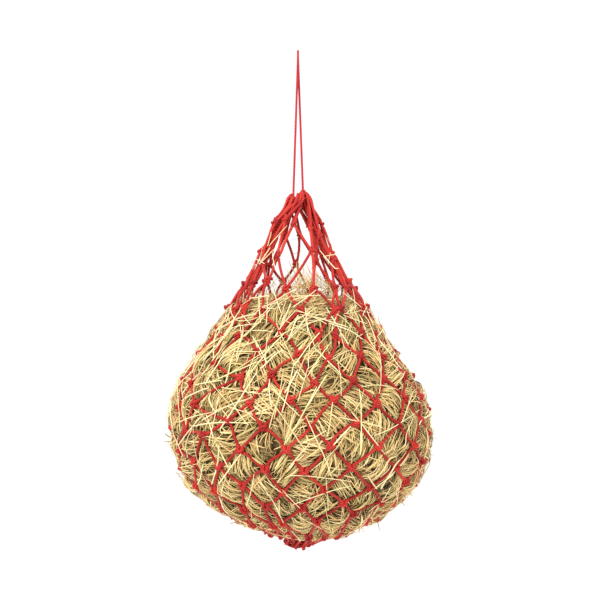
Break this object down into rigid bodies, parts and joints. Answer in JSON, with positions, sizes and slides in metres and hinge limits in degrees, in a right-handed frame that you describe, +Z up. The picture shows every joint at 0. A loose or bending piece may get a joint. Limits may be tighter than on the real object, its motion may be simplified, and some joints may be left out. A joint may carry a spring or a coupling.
{
  "type": "hay net",
  "caption": "Knotted rope hay net, filled and drawn shut, hanging from the bight of its drawcord so that a horse can pull hay through the meshes.",
  "frame": {"origin": "the point of the drawcord's hanging bight that rests on the hook", "axes": "+Z up along the hanging cord, +X to the right seen from the front, -Y towards the front"},
  "size_m": [0.4302, 0.4314, 0.7928],
  "materials": {
    "netting": "twisted polyethylene twine, bright red, slight sheen",
    "drawcord": "thin braided cord, red, slight sheen",
    "hay": "dry meadow hay, khaki green to straw yellow, matte"
  },
  "bodies": {
    "hook_bight": {"drawcord_bight": "drawcord"},
    "cord_top": {"drawcord_upper_leg_left": "drawcord", "drawcord_upper_leg_right": "drawcord"},
    "hanging_cord": {"drawcord_leg_left": "drawcord", "drawcord_leg_right": "drawcord"},
    "mouth_gather": {"drawcord_mouth_ring": "drawcord", "drawcord_end_knot": "drawcord", "mouth_mesh_round": "netting", "neck_mesh_round_1": "netting", "neck_mesh_round_2": "netting", "neck_knots": "netting"},
    "net_body": {"shoulder_mesh_round_1": "netting", "shoulder_mesh_round_2": "netting", "shoulder_mesh_round_3": "netting", "shoulder_mesh_round_4": "netting", "shoulder_mesh_round_5": "netting", "belly_mesh_round_1": "netting", "belly_mesh_round_2": "netting", "belly_mesh_round_3": "netting", "belly_mesh_round_4": "netting", "base_mesh_round_1": "netting", "base_mesh_round_2": "netting", "base_mesh_round_3": "netting", "base_mesh_round_4": "netting", "shoulder_knots": "netting", "belly_knots": "netting", "base_knots": "netting", "base_gather_cord": "netting", "base_knot": "netting", "hay_fill": "hay"}
  },
  "joints": [
    {"name": "fore_aft_swing", "type": "hinge", "parent": "hook_bight", "child": "cord_top", "pos_m": [0, 0, -0.012], "axis": [1, 0, 0], "range_deg": [-30, 30]},
    {"name": "side_swing", "type": "hinge", "parent": "cord_top", "child": "hanging_cord", "pos_m": [0, 0, -0.04], "axis": [0, 1, 0], "range_deg": [-40, 40]},
    {"name": "net_spin", "type": "hinge", "parent": "hanging_cord", "child": "mouth_gather", "pos_m": [0, 0, -0.224], "axis": [0, 0, 1], "range_deg": [-170, 170]},
    {"name": "neck_slack", "type": "slide", "parent": "mouth_gather", "child": "net_body", "axis": [0, 0, 1], "range_m": [0, 0.08], "deforming": ["mouth_mesh_round", "neck_mesh_round_1", "neck_mesh_round_2", "neck_knots"]}
  ]
}
